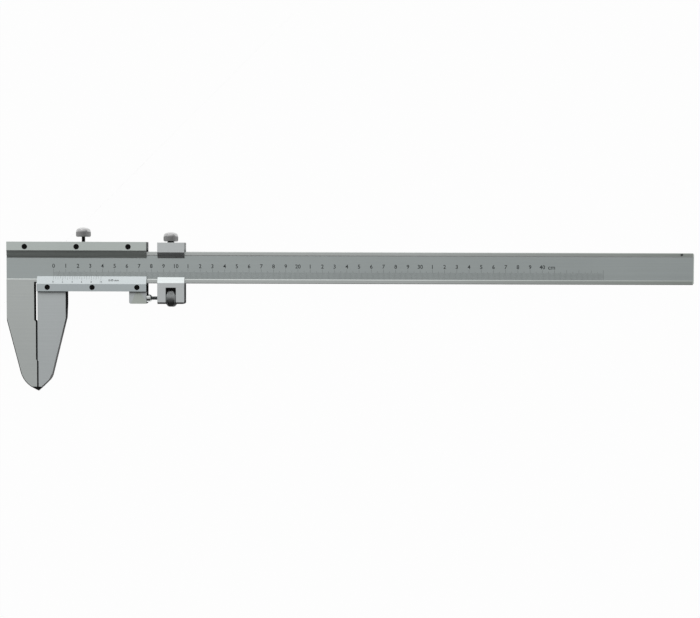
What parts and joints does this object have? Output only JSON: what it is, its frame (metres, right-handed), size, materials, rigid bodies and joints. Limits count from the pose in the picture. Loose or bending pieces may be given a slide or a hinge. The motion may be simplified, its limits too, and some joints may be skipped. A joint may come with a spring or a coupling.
{
  "type": "marking caliper",
  "caption": "Steel vernier caliper with long pointed marking jaws, a sliding frame with cover strips, a fine-feed block with knurled nut, and clamp screws.",
  "frame": {"origin": "on the measuring plane of the closed jaws, on the beam's centreline, in the back plane of the sliding frame", "axes": "+X along the beam to its free end, +Y away from the jaws towards the clamp screws, +Z out of the scale side"},
  "size_m": [0.5628, 0.1343, 0.0141],
  "materials": {
    "beam_steel": "satin ground",
    "frame_steel": "satin ground",
    "strip_steel": "satin ground",
    "vernier_steel": "bright satin chrome",
    "block_steel": "satin ground",
    "knob_steel": "knurled, bright dome",
    "nut_steel": "knurled",
    "collar_steel": "polished",
    "spring_steel": "rolled",
    "thread_steel": "black oxide, threaded",
    "black_steel": "black oxide"
  },
  "bodies": {
    "beam": {"beam": "beam_steel", "end_stop_pin": "black_steel"},
    "slider": {"frame_body": "frame_steel", "top_strip": "strip_steel", "vernier_strip": "vernier_steel", "top_strip_screw_1": "black_steel", "top_strip_screw_2": "black_steel", "top_strip_screw_3": "black_steel", "vernier_screw_1": "black_steel", "vernier_screw_2": "black_steel", "vernier_screw_3": "black_steel", "frame_spring": "spring_steel", "feed_screw": "thread_steel", "feed_screw_collar": "collar_steel"},
    "frame_clamp_stem": {"frame_clamp_stem": "thread_steel"},
    "frame_clamp_knob": {"frame_clamp_knob": "knob_steel"},
    "feed_block": {"feed_block": "block_steel", "block_spring": "spring_steel"},
    "feed_nut": {"feed_nut": "nut_steel"},
    "block_clamp_stem": {"block_clamp_stem": "thread_steel"},
    "block_clamp_knob": {"block_clamp_knob": "knob_steel"}
  },
  "joints": [
    {"name": "frame_slide", "type": "slide", "parent": "beam", "child": "slider", "axis": [1, 0, 0], "range_m": [0, 0.4]},
    {"name": "frame_clamp_travel", "type": "slide", "parent": "slider", "child": "frame_clamp_stem", "axis": [0, 1, 0], "range_m": [-0.0036, 0.002]},
    {"name": "frame_clamp_spin", "type": "hinge", "parent": "frame_clamp_stem", "child": "frame_clamp_knob", "pos_m": [0.0372, 0.03, 0.00605], "axis": [0, 1, 0], "range_deg": [-2592, 1440]},
    {"name": "block_travel", "type": "slide", "parent": "slider", "child": "feed_block", "axis": [1, 0, 0], "range_m": [-0.0045, 0.004]},
    {"name": "nut_spin", "type": "hinge", "parent": "feed_block", "child": "feed_nut", "pos_m": [0.10955, -0.0251, 0.00705], "axis": [1, 0, 0], "range_deg": [-3240, 2880]},
    {"name": "block_clamp_travel", "type": "slide", "parent": "feed_block", "child": "block_clamp_stem", "axis": [0, 1, 0], "range_m": [0, 0.003]},
    {"name": "block_clamp_spin", "type": "hinge", "parent": "block_clamp_stem", "child": "block_clamp_knob", "pos_m": [0.1089, 0.03, 0.00605], "axis": [0, 1, 0], "range_deg": [0, 2160]}
  ],
  "couplings": [
    {"joint": "frame_clamp_travel", "follows": "frame_clamp_spin", "m_per_rad": 0.000079577},
    {"joint": "nut_spin", "follows": "block_travel", "rad_per_m": 12566},
    {"joint": "block_clamp_travel", "follows": "block_clamp_spin", "m_per_rad": 0.000079577}
  ]
}
